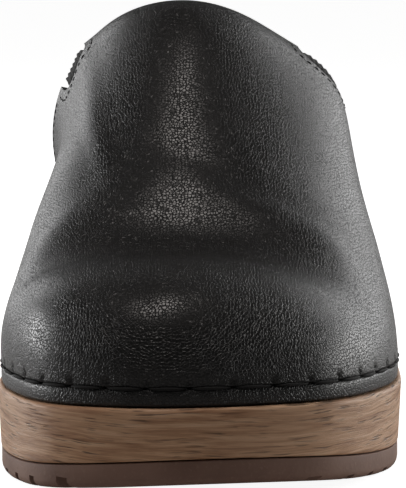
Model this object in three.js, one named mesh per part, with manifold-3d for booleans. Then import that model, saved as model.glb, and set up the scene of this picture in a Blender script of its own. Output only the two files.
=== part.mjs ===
// Open-backed wooden clog for the left foot, in millimetres.
// +Z is up, the toe points to -Y, and +X is the outer (lateral) side of the foot.
// The origin is on the ground, under the middle of the clog.
//
// From the ground up: two rubber treads, a wooden sole, an insole board with a leather rand
// round it, a foam footbed with its sock, and a leather vamp sewn to the rand, with its lining,
// a toe puff, a topline tape and an elastic gore on each side of the throat.

import * as THREE from 'three';
import { mergeVertices } from 'three/addons/utils/BufferGeometryUtils.js';
import Module from 'manifold-3d';

const wasm = await Module();
wasm.setup();

// ---- Driving dimensions ----

const soleLength = 255;
const ballWidth = 101;
const waistWidth = 70;
const heelWidth = 69;
const toeSwing = 9; // how far the toe tip lies to the inner side

const treadThickness = 6;
const toeSpring = 5.3; // height of the toe tip's tread above the ground
const ballSlant = 0.2; // the line where the toe spring starts runs back towards the outer side
const woodAtToe = 12; // thickness of the wood at the toe tip
const woodAtBall = 15.5;
const heelLift = 27; // how much higher the wood's top is at the heel than at the ball
const archRise = 15; // height of the arch above the treads' top
const woodDraft = 0.7; // the wood's foot is narrower than its top by this on each side
const grooveWidth = 2.6;
const grooveDepth = 1.8;
const groovePitch = 11;

const randHeight = 4.2;
const randThickness = 2.2;
const randInset = 0.8; // from the wood's edge to the rand's and the vamp's outer face
const boardThickness = 1.6;
const foamThickness = 4;
const heelCupDepth = 3; // how far the footbed's edge stands above its middle at the heel
const sockThickness = 1.1;

const vampThickness = 1.8;
const liningThickness = 0.9;
const puffThickness = 1;
const tapeThickness = 0.6;
const goreThickness = 1;
const toeBoxHeight = 33.4; // above the wood's top, at the front end of the ridge
const throatHeight = 82.4;
const ridgeFront = -86; // where the ridge of the vamp starts, along Y
const throatY = 4;
const ridgeX = -3.5; // the ridge runs a little to the inner side
const ridgeLevelEnd = 0.96; // share of the ridge where its climb ends
const wingEnd = 0.345; // share of the sole's outline from the toe tip to the vamp's rear end

const clearance = 0.3;
const weltThread = 1.1; // diameter of the thread that sews the vamp to the rand
const weltStitch = 10.5; // length of one of its stitches
const fineThread = 0.6;
const stitchMargin = 2.6; // from the topline to its stitch line

// ---- Small helpers ----

const { lerp: mix, smoothstep } = THREE.MathUtils;
const at = (x, y, z) => new THREE.Vector3(x, y, z);

// ---- The sole's outline and levels ----

const halfLength = soleLength / 2;
const ballHalf = ballWidth / 2;
const heelHalf = heelWidth / 2;
const waistShift = 6; // the waist bends to the outer side, round the arch of the foot

const outline = new THREE.CatmullRomCurve3([
  at(-toeSwing, -halfLength, 0),
  at(-ballHalf * 0.72, -halfLength * 0.885, 0),
  at(-ballHalf * 0.945, -halfLength * 0.68, 0),
  at(-ballHalf, -halfLength * 0.45, 0),
  at(-ballHalf * 0.86, -halfLength * 0.12, 0),
  at(waistShift - waistWidth / 2, halfLength * 0.24, 0),
  at(-heelHalf * 0.96, halfLength * 0.55, 0),
  at(-heelHalf * 0.98, halfLength * 0.76, 0),
  at(-heelHalf * 0.7, halfLength * 0.935, 0),
  at(0, halfLength, 0),
  at(heelHalf * 0.72, halfLength * 0.93, 0),
  at(heelHalf, halfLength * 0.75, 0),
  at(heelHalf * 1.04, halfLength * 0.52, 0),
  at(waistShift + waistWidth / 2, halfLength * 0.2, 0),
  at(ballHalf * 0.95, -halfLength * 0.1, 0),
  at(ballHalf, -halfLength * 0.35, 0),
  at(ballHalf * 0.92, -halfLength * 0.62, 0),
  at(ballHalf * 0.56, -halfLength * 0.89, 0),
], true, 'centripetal');
outline.arcLengthDivisions = 1200;

const wrap = (t) => t - Math.floor(t);

/** Direction away from the sole, square to its outline, at share t of the outline. */
function outward(t) {
  const along = outline.getTangentAt(wrap(t));
  return at(along.y, -along.x, 0).normalize().negate();
}

/** Point on the outline at share t, moved in by the inset. */
function edgePoint(t, inset) {
  return outline.getPointAt(wrap(t)).addScaledVector(outward(t), -inset);
}

const ballFront = -halfLength * 0.54;
const archStart = -34;
const archTop = 24;
const breastTop = 34;
const breastFoot = 55; // front face of the heel, at the ground
const slopeStart = -50; // the wood's top climbs to the heel between these
const slopeEnd = 95;

/** How far a point in front of the ball is towards the toe tip, from 0 to 1, squared. */
function toeShare({ x, y }) {
  const share = Math.max(0, (ballFront - y + ballSlant * x) / (halfLength + ballFront));
  return share * share;
}

function woodBottom(point) {
  const arch = smoothstep(point.y, archStart, archTop)
    * (1 - smoothstep(point.y, breastTop, breastFoot));
  return treadThickness + toeSpring * toeShare(point) + archRise * arch;
}

function woodTop(point) {
  const toeRise = toeSpring + woodAtToe - woodAtBall;
  const heelRise = heelLift * smoothstep(point.y, slopeStart, slopeEnd);
  return treadThickness + woodAtBall + toeRise * toeShare(point) + heelRise;
}

// ---- Closed bodies from grids of points ----

/** A geometry from corners, three to a triangle, without the triangles that have no area. */
function fromCorners(corners) {
  const positions = [];
  let volume = 0;
  for (let k = 0; k < corners.length; k += 3) {
    const [a, b, c] = corners.slice(k, k + 3);
    const isFlat = [[a, b], [b, c], [c, a]].some(([p, q]) => p.distanceTo(q) < 1e-5);
    if (isFlat) continue;
    positions.push(a, b, c);
    volume += a.dot(b.clone().cross(c));
  }
  if (volume < 0) positions.reverse();
  return new THREE.BufferGeometry().setFromPoints(positions);
}

/**
 * The closed body between a front and a back grid, walled along the edges.
 * A zipped grid meets itself along its last column, which then has no wall.
 */
function sheetBody(rows, cols, frontAt, backAt, zipped = false) {
  const grid = (pointAt) => Array.from({ length: rows + 1 }, (_, i) =>
    Array.from({ length: cols + 1 }, (_, j) => pointAt(i / rows, j / cols)));
  const front = grid(frontAt);
  const back = grid(backAt);
  const corners = [];
  const quad = (a, b, c, d) => corners.push(a, b, c, a, c, d);
  for (let i = 0; i < rows; i++) {
    for (let j = 0; j < cols; j++) {
      quad(front[i][j], front[i + 1][j], front[i + 1][j + 1], front[i][j + 1]);
      quad(back[i][j], back[i][j + 1], back[i + 1][j + 1], back[i + 1][j]);
    }
    quad(front[i + 1][0], front[i][0], back[i][0], back[i + 1][0]);
    if (!zipped) quad(front[i][cols], front[i + 1][cols], back[i + 1][cols], back[i][cols]);
  }
  for (let j = 0; j < cols; j++) {
    quad(front[0][j], front[0][j + 1], back[0][j + 1], back[0][j]);
    quad(front[rows][j + 1], front[rows][j], back[rows][j], back[rows][j + 1]);
  }
  return fromCorners(corners);
}

/** A closed ring that follows the outline, from its section's corners at share t. */
function ringBody(steps, sectionAt) {
  const rings = Array.from({ length: steps }, (_, i) => sectionAt(i / steps));
  const corners = [];
  for (let i = 0; i < steps; i++) {
    const here = rings[i];
    const next = rings[(i + 1) % steps];
    for (let j = 0; j < here.length; j++) {
      const k = (j + 1) % here.length;
      corners.push(here[j], next[j], next[k], here[j], next[k], here[k]);
    }
  }
  return fromCorners(corners);
}

/**
 * A layer of the sole between two levels, from share `from` to share `to` of the way from the
 * toe tip to the back of the heel. Levels are functions of the point and of how far out it lies,
 * which is 1 at the layer's edge. Insets are from the outline.
 */
function soleLayer({ top, bottom, topInset, bottomInset = topInset, from = 0, to = 1, rows, cols }) {
  const gridAt = (level, inset) => (i, j) => {
    const t = mix(from, to, i) / 2;
    const inner = edgePoint(t, inset);
    const outer = edgePoint(1 - t, inset);
    const fromEdge = Math.min(j, 1 - j) * inner.distanceTo(outer);
    const point = inner.lerp(outer, j);
    return point.setZ(level(point, 1 - fromEdge / heelHalf));
  };
  return sheetBody(rows, cols, gridAt(top, topInset), gridAt(bottom, bottomInset));
}

function toSolid(geometry) {
  const merged = mergeVertices(geometry, 1e-4);
  return new wasm.Manifold(new wasm.Mesh({
    numProp: 3,
    vertProperties: merged.attributes.position.array,
    triVerts: Uint32Array.from(merged.index.array),
  }));
}

function fromSolid(solid) {
  const { vertProperties, triVerts } = solid.getMesh();
  const geometry = new THREE.BufferGeometry();
  geometry.setAttribute('position', new THREE.BufferAttribute(vertProperties, 3));
  geometry.setIndex(new THREE.BufferAttribute(triVerts, 1));
  return geometry;
}

/** The body less all the cutters. */
function cut(geometry, cutters) {
  const whole = toSolid(geometry);
  return fromSolid(cutters.reduce((left, cutter) => left.subtract(toSolid(cutter)), whole));
}

/** A round thread through the points. */
function thread(points, diameter, steps) {
  const sides = 6;
  const section = new THREE.Shape(Array.from({ length: sides }, (_, k) => {
    const angle = (2 * Math.PI * k) / sides;
    return new THREE.Vector2(Math.cos(angle), Math.sin(angle)).multiplyScalar(diameter / 2);
  }));
  const path = new THREE.CatmullRomCurve3(points);
  const geometry = new THREE.ExtrudeGeometry(section, { steps, extrudePath: path });
  geometry.deleteAttribute('normal');
  geometry.deleteAttribute('uv');
  return geometry;
}

// ---- The vamp's outer surface ----
// u runs along the vamp's lower edge, from its rear end on the inner side round the toe to its
// rear end on the outer side. v runs up from that edge to the ridge, over the middle of the foot.
// Round the toe, all the lines of v meet in the front end of the ridge.

const toeFan = 0.32; // share of u whose lines meet in the front end of the ridge
// Pairs are for the inner and the outer side of the foot.
const toeWall = [0.9, 0.71]; // how high the wall stands before it turns over, as a share
const throatWall = [0.4, 0.32];
const toeCrown = [0.71, 0.46]; // how far the top stays level, as a share of its half width
const throatCrown = [29, 30]; // the same at the throat, in millimetres
const toeBow = [1.6, -1.1]; // how far the wall bows out
const throatBow = [18.4, 12.2];
const shoulder = [0, 5]; // how far the leather swells out beside the throat
const shoulderMiddle = 0.51; // height of that swelling, as a share of v
const shoulderSpread = 0.142;
const vampFoot = randHeight + 2 * clearance; // above the wood's top

/** The value at u out of a pair for the inner and the outer side. */
const bySide = (pair, u) => mix(...pair, smoothstep(u, 0.4, 0.6));

/** Share of the way back along the ridge where the line of u ends. */
function ridgeShare(u) {
  return Math.max(0, (Math.abs(2 * u - 1) - toeFan) / (1 - toeFan));
}

/** The ridge sets out level over the toe box and is nearly level again at the throat. */
function ridgePoint(share) {
  const front = at(ridgeX, ridgeFront, 0);
  const throat = at(ridgeX, throatY, 0);
  const frontLevel = woodTop(front) + toeBoxHeight;
  const throatLevel = woodTop(throat) + throatHeight;
  const climb = smoothstep(share, 0, ridgeLevelEnd);
  return front.lerp(throat, share).setZ(mix(frontLevel, throatLevel, climb));
}

function ridgeNormal(share) {
  const step = 1e-3;
  const along = ridgePoint(share + step).sub(ridgePoint(share)).normalize();
  return at(1, 0, 0).cross(along).normalize();
}

/** The line of v at u, as a Bezier curve from the lower edge to the ridge. */
function vampLine(u) {
  const t = mix(wingEnd, -wingEnd, u);
  const share = ridgeShare(u);
  const foot = edgePoint(t, randInset);
  foot.z = woodTop(foot) + vampFoot;
  const top = ridgePoint(share);
  const side = Math.sign(2 * u - 1) || 1;
  const reach = at(foot.x - top.x, foot.y - top.y, 0);
  const across = reach.clone().normalize().lerp(at(side, 0, 0), Math.min(1, share * 4)).normalize();
  const halfWidth = Math.max(Math.abs(reach.x), share > 0 ? 0 : reach.length());
  const nearThroat = Math.min(1, share * 1.4);
  const wall = mix(bySide(toeWall, u), bySide(throatWall, u), nearThroat);
  const crown = mix(bySide(toeCrown, u) * halfWidth, bySide(throatCrown, u), nearThroat);
  const bow = mix(bySide(toeBow, u), bySide(throatBow, u), smoothstep(share, 0.15, 0.9));
  const footHandle = foot.clone().addScaledVector(outward(t), bow);
  footHandle.z += wall * (top.z - foot.z);
  const topHandle = top.clone().addScaledVector(across, crown);
  return new THREE.CubicBezierCurve3(foot, footHandle, topHandle, top);
}

/** How far the leather swells out over the lines, beside the throat. */
function swelling(u, v) {
  const height = Math.exp(-(((v - shoulderMiddle) / shoulderSpread) ** 2));
  return bySide(shoulder, u) * smoothstep(ridgeShare(u), 0.45, 0.95) * height;
}

/** Point on the vamp's outer surface, moved out from it by the lift. */
function vampPoint(u, v, lift = 0) {
  const line = vampLine(u);
  const point = line.getPoint(v);
  if (v > 1 - 1e-6) return point.addScaledVector(ridgeNormal(ridgeShare(u)), lift);
  const step = 1e-3;
  const alongU = vampLine(u + step).getPoint(v).sub(vampLine(u - step).getPoint(v));
  const alongV = line.getPoint(v + step).sub(line.getPoint(Math.max(0, v - step)));
  return point.addScaledVector(alongU.cross(alongV).normalize(), lift + swelling(u, v));
}

/** A layer of the upper over a stretch of u and v, between two lifts that may vary. */
function upperLayer({ rows, cols, uAt, vAt, outer, inner, zipped = false }) {
  const gridAt = (lift) => (i, j) => {
    const u = uAt(i, j);
    const v = vAt(i, j);
    return vampPoint(u, v, lift(u, v));
  };
  return sheetBody(rows, cols, gridAt(outer), gridAt(inner), zipped);
}

// ---- Elastic gores ----
// Each gore fills a rounded slot in the vamp, open to the topline at the side of the throat.

const slotMiddle = 0.55; // height of the slot along the topline, as a share of v
const slotHalfHeight = 0.085;
const slotDepth = 0.036; // reach of the slot along u
const underlapU = 0.012; // the gore runs this much further, under the leather
const underlapV = 0.045;
const goreBulge = 2; // how far the middle of the gore stands up into the slot
const bulgeEdge = [0.42, 0.8]; // shares of the slot's reach between which the gore comes down
const liningGapU = 0.0015;
const liningGapV = 0.006;
const slotStitchU = 0.0075; // the stitch line round the slot is this far outside it
const slotStitchV = 0.028;

/** A patch over a slot on one side, grown by shares of u and v, between two lifts that may vary. */
function slotPatch(side, { growU = 0, growV = 0, start = 0, outer, inner }) {
  const depth = slotDepth + growU;
  const u = (i) => mix(start, depth, i);
  const uOnSide = (i) => (side < 0 ? u(i) : 1 - u(i));
  const halfHeight = (i) => (slotHalfHeight + growV) * Math.sqrt(Math.max(0, 1 - (u(i) / depth) ** 4));
  return upperLayer({
    rows: 10,
    cols: 8,
    uAt: uOnSide,
    vAt: (i, j) => slotMiddle + halfHeight(i) * (2 * j - 1),
    outer,
    inner,
  });
}

/** Points of the stitch line round a slot on one side, on the leather. */
function slotStitchPath(side, start, steps) {
  const root = (value) => Math.sign(value) * Math.sqrt(Math.abs(value)); // squares the corners
  return Array.from({ length: steps + 1 }, (_, k) => {
    const angle = Math.PI * mix(start, 1 - start, k / steps);
    const u = (slotDepth + slotStitchU) * root(Math.sin(angle));
    const v = slotMiddle + (slotHalfHeight + slotStitchV) * root(Math.cos(angle));
    return vampPoint(side < 0 ? u : 1 - u, v, clearance + fineThread / 2);
  });
}

// ---- Sub-parts: the sole ----

const treadInset = 0.9;
const firstGroove = -halfLength + 14;
const forepartEnd = -8;
const heelTreadStart = breastFoot + 3;
const firstHeelGroove = 68;
const lastHeelGroove = halfLength - 8;
const cutterHeight = 20;
const forepartShare = 0.52; // the forepart tread is made over this share of the sole, then cut
const heelShare = 0.66; // the heel tread is made from this share on

function woodSole() {
  return soleLayer({
    top: (p) => woodTop(p),
    bottom: (p) => woodBottom(p),
    topInset: 0,
    bottomInset: woodDraft,
    rows: 46,
    cols: 4,
  });
}

/** A box to cut with, across the whole sole, between two places along Y and below a height. */
function cutter(fromY, toY, top, height) {
  const box = new THREE.BoxGeometry(2 * ballWidth, toY - fromY, height);
  box.translate(0, (fromY + toY) / 2, top - height / 2);
  box.deleteAttribute('normal');
  box.deleteAttribute('uv');
  return box;
}

/** Cutters for the grooves across a tread, from one place along Y to another. */
function grooves(fromY, toY) {
  const count = Math.floor((toY - fromY) / groovePitch) + 1;
  return Array.from({ length: count }, (_, k) => {
    const y = fromY + k * groovePitch;
    const top = woodBottom(at(0, y, 0)) - treadThickness + grooveDepth;
    return cutter(y - grooveWidth / 2, y + grooveWidth / 2, top, cutterHeight);
  });
}

function forepartTread() {
  const tread = soleLayer({
    top: (p) => woodBottom(p) - clearance,
    bottom: (p) => woodBottom(p) - treadThickness,
    topInset: treadInset,
    to: forepartShare,
    rows: 24,
    cols: 4,
  });
  const behind = cutter(forepartEnd, soleLength, soleLength, 2 * soleLength);
  return cut(tread, [behind, ...grooves(firstGroove, archStart)]);
}

function heelTread() {
  const tread = soleLayer({
    top: (p) => woodBottom(p) - clearance,
    bottom: (p) => woodBottom(p) - treadThickness,
    topInset: treadInset,
    from: heelShare,
    rows: 14,
    cols: 4,
  });
  const inFront = cutter(-soleLength, heelTreadStart, soleLength, 2 * soleLength);
  return cut(tread, [inFront, ...grooves(firstHeelGroove, lastHeelGroove)]);
}

// ---- Sub-parts: the footbed ----

const boardInset = randInset + randThickness + clearance;
const footbedInset = randInset + vampThickness + liningThickness + 3 * clearance;
const boardFoot = clearance;
const foamFoot = boardFoot + boardThickness + clearance;
const sockFoot = foamFoot + foamThickness + clearance;

/** How far the footbed's edge stands above its middle, at a point this share of the way out. */
function cup(point, outShare) {
  return heelCupDepth * smoothstep(point.y, 0, 70) * smoothstep(outShare, 0.55, 1);
}

function insoleBoard() {
  return soleLayer({
    top: (p) => woodTop(p) + boardFoot + boardThickness,
    bottom: (p) => woodTop(p) + boardFoot,
    topInset: boardInset,
    rows: 30,
    cols: 2,
  });
}

function footbedFoam() {
  return soleLayer({
    top: (p, outShare) => woodTop(p) + foamFoot + foamThickness + cup(p, outShare),
    bottom: (p) => woodTop(p) + foamFoot,
    topInset: footbedInset,
    rows: 30,
    cols: 6,
  });
}

function sockLiner() {
  return soleLayer({
    top: (p, outShare) => woodTop(p) + sockFoot + sockThickness + cup(p, outShare),
    bottom: (p, outShare) => woodTop(p) + sockFoot + cup(p, outShare),
    topInset: footbedInset,
    rows: 30,
    cols: 6,
  });
}

function rand() {
  const corner = (t, inset, height) => {
    const point = edgePoint(t, inset);
    return point.setZ(woodTop(point) + height);
  };
  return ringBody(84, (t) => [
    corner(t, randInset, clearance + randHeight * 0.12),
    corner(t, randInset, clearance + randHeight * 0.8),
    corner(t, randInset + randThickness * 0.3, clearance + randHeight),
    corner(t, randInset + randThickness, clearance + randHeight),
    corner(t, randInset + randThickness, clearance),
    corner(t, randInset + randThickness * 0.2, clearance),
  ]);
}

// ---- Sub-parts: the upper ----

// The layers share the rows and columns of one grid, so that their flat facets stay apart.
const vampRows = 54;
const vampCols = 17;
const underVamp = -(vampThickness + clearance);
const puffCols = [2, 11]; // the puff's lower and upper edge, in columns of the grid
const puffRows = [18, 36]; // and its ends, in rows
const tapeReach = 0.026; // the tape's width along u, from the topline
const tapeCols = 5; // how far down each side of the ridge the tape reaches, in columns
const toplineGap = 0.004; // the tape and the gores stop this short of the topline, along u
const [puffFoot, puffTop] = puffCols.map((column) => column / vampCols);
const puffEnds = puffRows.map((row) => row / vampRows);
const tapeFoot = 1 - tapeCols / vampCols;

// The lining is fully bent this far from a piece that it passes, and straight again further off.
const puffDipU = [0.005, 0.04];
const puffDipFoot = [0.005, 0.06];
const puffDipTop = [0.05, 0.16];
const tapeDipU = [0.006, 0.03];
const tapeDipFoot = [0.03, 0.1];

/** How far the lining bends inwards to pass the toe puff and the topline tape. */
function liningDip(u, v) {
  const outside = (distance, [near, far]) => 1 - smoothstep(distance, near, far);
  const fromPuffEnds = Math.max(puffEnds[0] - u, u - puffEnds[1]);
  const overPuff = outside(fromPuffEnds, puffDipU) * outside(puffFoot - v, puffDipFoot)
    * outside(v - puffTop, puffDipTop);
  const overTape = outside(Math.min(u, 1 - u) - tapeReach, tapeDipU)
    * outside(tapeFoot - v, tapeDipFoot);
  return (puffThickness + clearance) * overPuff + (tapeThickness + clearance) * overTape;
}

function vamp() {
  const shell = upperLayer({
    rows: vampRows,
    cols: vampCols,
    uAt: (i) => i,
    vAt: (i, j) => j,
    outer: () => 0,
    inner: () => -vampThickness,
    zipped: true,
  });
  const slots = [-1, 1].map((side) => slotPatch(side, {
    start: -0.01,
    outer: () => 1,
    inner: () => -vampThickness - 1,
  }));
  return cut(shell, slots);
}

function vampLining() {
  const shell = upperLayer({
    rows: vampRows,
    cols: vampCols,
    uAt: (i) => i,
    vAt: (i, j) => j,
    outer: (u, v) => underVamp - liningDip(u, v),
    inner: (u, v) => underVamp - liningThickness - liningDip(u, v),
    zipped: true,
  });
  const slots = [-1, 1].map((side) => slotPatch(side, {
    start: -0.01,
    growU: underlapU + liningGapU,
    growV: underlapV + liningGapV,
    outer: () => underVamp + 1,
    inner: () => underVamp - liningThickness - 1.5,
  }));
  return cut(shell, slots);
}

function gore(side) {
  const bulge = (u, v) => {
    const deep = 1 - smoothstep(Math.min(u, 1 - u) / slotDepth, ...bulgeEdge);
    const high = 1 - smoothstep(Math.abs(v - slotMiddle) / slotHalfHeight, ...bulgeEdge);
    return goreBulge * deep * high;
  };
  return slotPatch(side, {
    start: toplineGap,
    growU: underlapU,
    growV: underlapV,
    outer: (u, v) => underVamp + bulge(u, v),
    inner: (u, v) => underVamp - goreThickness + bulge(u, v),
  });
}

function toePuff() {
  return upperLayer({
    rows: puffRows[1] - puffRows[0],
    cols: puffCols[1] - puffCols[0],
    uAt: (i) => mix(...puffEnds, i),
    vAt: (i, j) => mix(puffFoot, puffTop, j),
    outer: () => underVamp,
    inner: () => underVamp - puffThickness,
  });
}

/** Share of v on the way over the throat from one side to the other, at share j of that way. */
const overThroat = (foot, j) => mix(foot, 1, 1 - Math.abs(2 * j - 1));

function toplineTape() {
  return upperLayer({
    rows: 2,
    cols: 2 * tapeCols,
    uAt: (i, j) => {
      const fromTopline = mix(toplineGap, tapeReach, i);
      return j <= 0.5 ? fromTopline : 1 - fromTopline;
    },
    vAt: (i, j) => overThroat(tapeFoot, j),
    outer: () => underVamp,
    inner: () => underVamp - tapeThickness,
  });
}

// ---- Sub-parts: the threads ----

const weltMargin = 0.006; // from the vamp's rear ends to the welt's thread, along u
const stitchHump = 0.3; // how far the middle of a stitch in the welt stands up
const wingStitchFoot = 0.04; // the wing's stitch line runs between these, along v
const wingStitchTop = slotMiddle - slotHalfHeight - 0.05;

/** The thread lies along the seam between rand and vamp, proud of it in the middle of a stitch. */
function weltThreadBody() {
  const seamLength = 2 * wingEnd * outline.getLength() * (1 - 2 * weltMargin);
  const stitches = Math.round(seamLength / weltStitch);
  const perStitch = 3;
  const points = Array.from({ length: stitches * perStitch + 1 }, (_, k) => {
    const u = mix(weltMargin, 1 - weltMargin, k / (stitches * perStitch));
    const hump = stitchHump * Math.abs(Math.sin((Math.PI * k) / perStitch));
    const proud = clearance + weltThread / 2 + hump;
    const point = edgePoint(mix(wingEnd, -wingEnd, u), randInset - proud);
    return point.setZ(woodTop(point) + randHeight + 1.5 * clearance);
  });
  return thread(points, weltThread, points.length - 1);
}

function goreThread(side) {
  const steps = 30;
  return thread(slotStitchPath(side, 0.02, steps), fineThread, steps);
}

/** The thread along the topline of one wing, from below the gore to the vamp's rear end. */
function wingThread(side) {
  const u = stitchMargin / (2 * wingEnd * outline.getLength());
  const steps = 18;
  const points = Array.from({ length: steps + 1 }, (_, k) => {
    const v = mix(wingStitchFoot, wingStitchTop, k / steps);
    return vampPoint(side < 0 ? u : 1 - u, v, clearance + fineThread / 2);
  });
  return thread(points, fineThread, steps);
}

// ---- Materials and assembly ----

const material = (color, roughness) =>
  new THREE.MeshStandardMaterial({ color, roughness, metalness: 0 });

const wood = material(0x80664b, 0.55);
const rubber = material(0x5c4438, 0.8);
const leather = material(0x1a1a18, 0.4);
const fibreboard = material(0x8a7458, 0.9);
const foam = material(0xcfc4ae, 0.9);
const sockLeather = material(0x2b2622, 0.6);
const liningLeather = material(0xb0a898, 0.7);
const puffSheet = material(0xd8d2c4, 0.8);
const tapeCloth = material(0xe0ddd4, 0.9);
const elastic = material(0x161616, 0.85);
const threadBlack = material(0x101010, 0.6);

const subParts = [
  ['wood_sole', woodSole(), wood],
  ['forepart_tread', forepartTread(), rubber],
  ['heel_tread', heelTread(), rubber],
  ['insole_board', insoleBoard(), fibreboard],
  ['rand', rand(), leather],
  ['footbed_foam', footbedFoam(), foam],
  ['sock_liner', sockLiner(), sockLeather],
  ['vamp', vamp(), leather],
  ['vamp_lining', vampLining(), liningLeather],
  ['toe_puff', toePuff(), puffSheet],
  ['topline_tape', toplineTape(), tapeCloth],
  ['medial_gore', gore(-1), elastic],
  ['lateral_gore', gore(1), elastic],
  ['welt_thread', weltThreadBody(), threadBlack],
  ['medial_gore_thread', goreThread(-1), threadBlack],
  ['lateral_gore_thread', goreThread(1), threadBlack],
  ['medial_wing_thread', wingThread(-1), threadBlack],
  ['lateral_wing_thread', wingThread(1), threadBlack],
];

const clog = new THREE.Group();
for (const [name, geometry, finish] of subParts) {
  const mesh = new THREE.Mesh(geometry, finish);
  mesh.name = name;
  clog.add(mesh);
}

export default clog;
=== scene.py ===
import math

import bmesh
import bpy
import numpy as np
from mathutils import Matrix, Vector


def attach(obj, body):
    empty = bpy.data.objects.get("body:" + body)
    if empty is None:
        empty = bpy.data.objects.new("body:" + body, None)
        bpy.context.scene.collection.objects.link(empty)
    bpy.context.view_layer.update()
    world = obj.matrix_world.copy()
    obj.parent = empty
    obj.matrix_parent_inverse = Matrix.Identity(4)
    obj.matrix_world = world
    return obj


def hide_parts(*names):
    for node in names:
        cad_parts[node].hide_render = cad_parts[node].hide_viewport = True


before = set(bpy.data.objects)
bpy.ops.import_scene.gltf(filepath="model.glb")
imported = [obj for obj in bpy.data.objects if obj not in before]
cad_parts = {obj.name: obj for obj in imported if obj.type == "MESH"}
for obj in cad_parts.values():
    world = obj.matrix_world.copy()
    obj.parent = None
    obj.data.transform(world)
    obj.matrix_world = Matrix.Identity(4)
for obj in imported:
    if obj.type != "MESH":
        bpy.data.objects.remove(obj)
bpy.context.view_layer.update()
MM = 0.001

# ---- Driving dimensions, as in the frame ----

LENGTH, BALL_WIDTH, WAIST_WIDTH, HEEL_WIDTH = 255, 101, 70, 69
TOE_SWING, WAIST_SHIFT = 9, 6
TREAD, TOE_SPRING, BALL_SLANT = 6, 5.3, 0.2
WOOD_AT_TOE, WOOD_AT_BALL, HEEL_LIFT, ARCH_RISE, WOOD_DRAFT = 12, 15.5, 27, 15, 0.7
RAND_HEIGHT, RAND_THICKNESS, RAND_INSET, CLEARANCE = 4.2, 2.2, 0.8, 0.3
BOARD, FOAM, SOCK, CUP = 1.6, 4, 1.1, 3
VAMP, LINING, PUFF, TAPE, GORE = 1.8, 0.9, 1, 0.6, 1
TOE_BOX, THROAT_HEIGHT = 33.4, 82.4
RIDGE_FRONT, THROAT_Y, RIDGE_X, WING_END = -86, 4, -3.5, 0.345
RIDGE_LEVEL_END = 0.96
TOE_FAN = 0.32
# Pairs are for the inner and the outer side of the foot.
TOE_WALL, THROAT_WALL = (0.9, 0.71), (0.4, 0.32)
TOE_CROWN, THROAT_CROWN = (0.71, 0.46), (29, 30)
TOE_BOW, THROAT_BOW = (1.6, -1.1), (18.4, 12.2)
SHOULDER, SHOULDER_MIDDLE, SHOULDER_SPREAD = (0, 5), 0.51, 0.142
SLOT_MIDDLE, SLOT_HALF, SLOT_DEPTH = 0.55, 0.085, 0.036
SLOT_STITCH_U, SLOT_STITCH_V = 0.0075, 0.028  # from a slot's edge to the stitches round it
GORE_BULGE = 2

HALF, BALL_HALF, HEEL_HALF = LENGTH / 2, BALL_WIDTH / 2, HEEL_WIDTH / 2
BALL_FRONT = -HALF * 0.54
ARCH_START, ARCH_TOP, BREAST_TOP, BREAST_FOOT = -34, 24, 34, 55
SLOPE_START, SLOPE_END = -50, 95
FOREPART_END, HEEL_TREAD_START = -8, BREAST_FOOT + 3
FIRST_GROOVE, FIRST_HEEL_GROOVE, GROOVE_PITCH = -HALF + 14, 68, 11
GROOVE_WIDTH, GROOVE_DEPTH = 2.6, 1.8
BELOW_TREAD = 20  # how far the grooves' cutting boxes reach down
TREAD_INSET = 0.9
STITCH_LENGTH, SMALL_STITCH = 10.5, 2.7


# ---- Small helpers ----

def mix(a, b, k):
    return a + (b - a) * k


def smooth(x, low, high):
    k = np.clip((x - low) / (high - low), 0, 1)
    return k * k * (3 - 2 * k)


def bump(x, centre, width):
    """A smooth bump of height 1 at the centre."""
    return np.exp(-(((x - centre) / width) ** 2))


def unit(vectors):
    return vectors / np.maximum(np.linalg.norm(vectors, axis=-1, keepdims=True), 1e-9)


# ---- The sole's outline and levels ----

OUTLINE_POINTS = np.array([
    (-TOE_SWING, -HALF),
    (-BALL_HALF * 0.72, -HALF * 0.885),
    (-BALL_HALF * 0.945, -HALF * 0.68),
    (-BALL_HALF, -HALF * 0.45),
    (-BALL_HALF * 0.86, -HALF * 0.12),
    (WAIST_SHIFT - WAIST_WIDTH / 2, HALF * 0.24),
    (-HEEL_HALF * 0.96, HALF * 0.55),
    (-HEEL_HALF * 0.98, HALF * 0.76),
    (-HEEL_HALF * 0.7, HALF * 0.935),
    (0, HALF),
    (HEEL_HALF * 0.72, HALF * 0.93),
    (HEEL_HALF, HALF * 0.75),
    (HEEL_HALF * 1.04, HALF * 0.52),
    (WAIST_SHIFT + WAIST_WIDTH / 2, HALF * 0.2),
    (BALL_HALF * 0.95, -HALF * 0.1),
    (BALL_HALF, -HALF * 0.35),
    (BALL_HALF * 0.92, -HALF * 0.62),
    (BALL_HALF * 0.56, -HALF * 0.89),
], float)


def spline_loop(points, per_span=300):
    """A closed centripetal Catmull-Rom curve through the points, finely sampled."""
    pieces = []
    k = np.linspace(0, 1, per_span, endpoint=False)[:, None]
    for i in range(len(points)):
        a, b, c, d = (points[(i + j) % len(points)] for j in (-1, 0, 1, 2))
        ab, bc, cd = (np.linalg.norm(q - p) ** 0.5 for p, q in ((a, b), (b, c), (c, d)))
        start = ((b - a) / ab - (c - a) / (ab + bc) + (c - b) / bc) * bc
        end = ((c - b) / bc - (d - b) / (bc + cd) + (d - c) / cd) * bc
        square = -3 * b + 3 * c - 2 * start - end
        cube = 2 * b - 2 * c + start + end
        pieces.append(b + start * k + square * k**2 + cube * k**3)
    return np.concatenate([*pieces, points[:1]])


LOOP = spline_loop(OUTLINE_POINTS)
LOOP_SHARE = np.concatenate([[0], np.cumsum(np.linalg.norm(np.diff(LOOP, axis=0), axis=1))])
OUTLINE_LENGTH = LOOP_SHARE[-1]
LOOP_SHARE = LOOP_SHARE / OUTLINE_LENGTH
UPPER_LENGTH = 2 * WING_END * OUTLINE_LENGTH


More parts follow.
